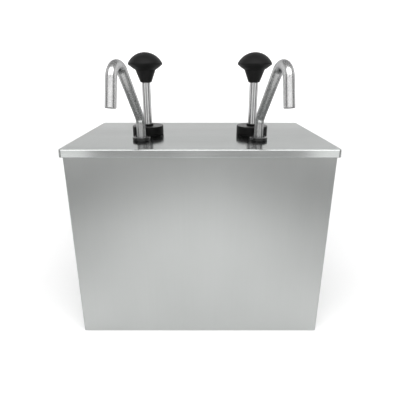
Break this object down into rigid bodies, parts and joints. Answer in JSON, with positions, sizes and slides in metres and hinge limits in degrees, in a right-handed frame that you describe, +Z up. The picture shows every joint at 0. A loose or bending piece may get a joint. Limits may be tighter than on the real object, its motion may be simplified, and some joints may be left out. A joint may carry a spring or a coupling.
{
  "type": "condiment pump dispenser",
  "caption": "Sheet-steel condiment dispenser: lift-out containers under a lid with push-down pumps, each with a black knob and a goose-neck spout.",
  "frame": {"origin": "middle of the housing's underside, where it rests on the counter", "axes": "+Z up along the pump rods, -Y towards the user (the spouts point that way), +X to the user's right; the plane x = 0 is the plane of symmetry"},
  "size_m": [0.375, 0.265, 0.4209],
  "materials": {
    "housing": "satin, vertical grain",
    "lid": "satin, grain along the width, slightly reflective",
    "container": "smooth satin",
    "knob": "fine moulded grain",
    "collar": "smooth moulded",
    "brass": "turned",
    "rod": "polished",
    "spout": "polished",
    "piston": "turned",
    "seal": "smooth",
    "cylinder": "drawn tube",
    "spring": "drawn wire",
    "valve_body": "machined",
    "valve_steel": "polished"
  },
  "bodies": {
    "housing": {"housing_wrap": "housing", "housing_back": "housing", "base_plate": "housing"},
    "lid": {"lid": "lid", "cylinder_left": "cylinder", "neck_gasket_left": "seal", "guide_bush_left": "collar", "collar_nut_left": "collar", "return_spring_left": "spring", "valve_body_left": "valve_body", "inlet_seat_left": "valve_steel", "tube_o_ring_left": "seal", "spout_bush_left": "valve_steel", "spout_gasket_left": "seal", "spout_nut_left": "collar", "cylinder_right": "cylinder", "neck_gasket_right": "seal", "guide_bush_right": "collar", "collar_nut_right": "collar", "return_spring_right": "spring", "valve_body_right": "valve_body", "inlet_seat_right": "valve_steel", "tube_o_ring_right": "seal", "spout_bush_right": "valve_steel", "spout_gasket_right": "seal", "spout_nut_right": "collar"},
    "container_left": {"container_left": "container"},
    "plunger_left": {"knob_left": "knob", "knob_insert_left": "brass", "plunger_rod_left": "rod", "piston_left": "piston", "piston_seal_left": "seal", "piston_nut_left": "rod"},
    "spout_left": {"discharge_tube_left": "spout"},
    "inlet_ball_left": {"inlet_ball_left": "valve_steel"},
    "discharge_ball_left": {"discharge_ball_left": "valve_steel"},
    "container_right": {"container_right": "container"},
    "plunger_right": {"knob_right": "knob", "knob_insert_right": "brass", "plunger_rod_right": "rod", "piston_right": "piston", "piston_seal_right": "seal", "piston_nut_right": "rod"},
    "spout_right": {"discharge_tube_right": "spout"},
    "inlet_ball_right": {"inlet_ball_right": "valve_steel"},
    "discharge_ball_right": {"discharge_ball_right": "valve_steel"}
  },
  "joints": [
    {"name": "lid_lift", "type": "slide", "parent": "housing", "child": "lid", "axis": [0, 0, 1], "range_m": [0, 0.6]},
    {"name": "container_lift_left", "type": "slide", "parent": "housing", "child": "container_left", "axis": [0, 0, 1], "range_m": [0, 0.3]},
    {"name": "plunger_press_left", "type": "slide", "parent": "lid", "child": "plunger_left", "axis": [0, 0, -1], "range_m": [0, 0.06], "stiffness_N_per_m": 300, "springref_m": -0.03, "deforming": ["return_spring_left"]},
    {"name": "spout_swivel_left", "type": "hinge", "parent": "lid", "child": "spout_left", "pos_m": [-0.0863, -0.0495, 0.3], "axis": [0, 0, 1], "range_deg": [-40, 40]},
    {"name": "inlet_ball_lift_left", "type": "slide", "parent": "lid", "child": "inlet_ball_left", "axis": [0, 0, 1], "range_m": [0, 0.004]},
    {"name": "discharge_ball_lift_left", "type": "slide", "parent": "lid", "child": "discharge_ball_left", "axis": [0, 0, 1], "range_m": [0, 0.004]},
    {"name": "container_lift_right", "type": "slide", "parent": "housing", "child": "container_right", "axis": [0, 0, 1], "range_m": [0, 0.3]},
    {"name": "plunger_press_right", "type": "slide", "parent": "lid", "child": "plunger_right", "axis": [0, 0, -1], "range_m": [0, 0.06], "stiffness_N_per_m": 300, "springref_m": -0.03, "deforming": ["return_spring_right"]},
    {"name": "spout_swivel_right", "type": "hinge", "parent": "lid", "child": "spout_right", "pos_m": [0.0863, -0.0495, 0.3], "axis": [0, 0, 1], "range_deg": [-40, 40]},
    {"name": "inlet_ball_lift_right", "type": "slide", "parent": "lid", "child": "inlet_ball_right", "axis": [0, 0, 1], "range_m": [0, 0.004]},
    {"name": "discharge_ball_lift_right", "type": "slide", "parent": "lid", "child": "discharge_ball_right", "axis": [0, 0, 1], "range_m": [0, 0.004]}
  ],
  "couplings": [
    {"joint": "container_lift_left", "follows": "lid_lift", "ratio": 0.5},
    {"joint": "container_lift_right", "follows": "lid_lift", "ratio": 0.5}
  ]
}
